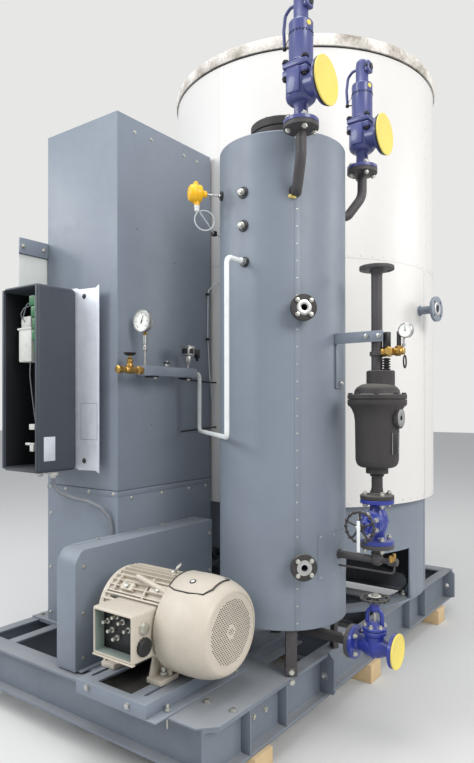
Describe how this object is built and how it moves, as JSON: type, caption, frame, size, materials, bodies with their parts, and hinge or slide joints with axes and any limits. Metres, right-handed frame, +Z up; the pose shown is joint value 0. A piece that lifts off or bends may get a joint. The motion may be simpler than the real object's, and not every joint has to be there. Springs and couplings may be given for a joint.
{
  "type": "industrial steam boiler package",
  "caption": "Skid-mounted steam boiler with a white upright shell, tall grey casing, separator vessel, relief valves, globe valves, motor and belt guard.",
  "frame": {"origin": "on the floor, under the middle of the skid", "axes": "+Z up, +Y from the motor end to the boiler, +X towards the side with the valves"},
  "size_m": [2.1493, 3.0099, 3.58],
  "materials": {
    "timber": "sawn softwood",
    "grey_paint": "satin blue-grey paint",
    "white_cladding": "white coated sheet",
    "pale_sheet": "pale grey coat",
    "black_steel": "matt black heat-proof paint",
    "violet_blue_paint": "gloss blue-violet paint",
    "deep_blue_paint": "gloss deep blue paint",
    "yellow_plastic": "soft protective cap",
    "yellow_housing": "gloss yellow paint",
    "pale_cable": "light grey sheath",
    "white_coated_pipe": "smooth white coat",
    "brass": "machined brass",
    "bright_steel": "bright steel",
    "warm_grey_paint": "warm light grey paint on castings",
    "dark_housing": "dark fine-textured coat",
    "zinc_sheet": "zinc-plated sheet",
    "circuit_board": "green board with pale parts",
    "grey_cable": "grey sheath"
  },
  "bodies": {
    "package": {"support_timbers": "timber", "side_beams": "grey_paint", "cross_beams": "grey_paint", "inner_rails": "grey_paint", "beam_stiffeners": "grey_paint", "lifting_lugs": "grey_paint", "deck_plate": "grey_paint", "boiler_skirt": "grey_paint", "boiler_floor": "white_cladding", "boiler_shell": "white_cladding", "boiler_lid": "white_cladding", "boiler_branch": "grey_paint", "lower_casing": "grey_paint", "upper_casing": "grey_paint", "belt_guard": "grey_paint", "casing_bar": "grey_paint", "side_plate": "pale_sheet", "separator_shell": "grey_paint", "separator_floor": "grey_paint", "separator_top": "black_steel", "separator_legs": "black_steel", "separator_branches": "grey_paint", "relief_pipes": "black_steel", "relief_valves": "violet_blue_paint", "relief_levers": "violet_blue_paint", "outlet_covers": "yellow_plastic", "temperature_sensor": "yellow_housing", "sensor_cable": "pale_cable", "instrument_pipe": "white_coated_pipe", "gauge_bar": "grey_paint", "bar_valve": "brass", "pressure_gauge": "bright_steel", "pressure_switch": "bright_steel", "pot_pipe": "black_steel", "pot_body": "black_steel", "pot_lid": "black_steel", "pot_bracket": "grey_paint", "pot_fittings": "brass", "upper_valve": "deep_blue_paint", "lower_valve": "deep_blue_paint", "drain_pipes": "black_steel", "motor_base": "grey_paint", "motor_body": "warm_grey_paint", "fan_cowl": "warm_grey_paint", "terminal_box": "warm_grey_paint", "drive_housing": "dark_housing", "drive_plate": "zinc_sheet", "drive_boards": "circuit_board", "drive_cable": "grey_cable"},
    "upper_wheel": {"upper_handwheel": "deep_blue_paint"},
    "lower_wheel": {"lower_handwheel": "deep_blue_paint"}
  },
  "joints": [
    {"name": "upper_wheel_turn", "type": "hinge", "parent": "package", "child": "upper_wheel", "pos_m": [1.102, -0.808, 0.9905], "axis": [0, -1, 0], "range_deg": [-180, 180]},
    {"name": "lower_wheel_turn", "type": "hinge", "parent": "package", "child": "lower_wheel", "pos_m": [1.09, -0.632, 0.652], "axis": [0, 0, 1], "range_deg": [-180, 180]}
  ]
}
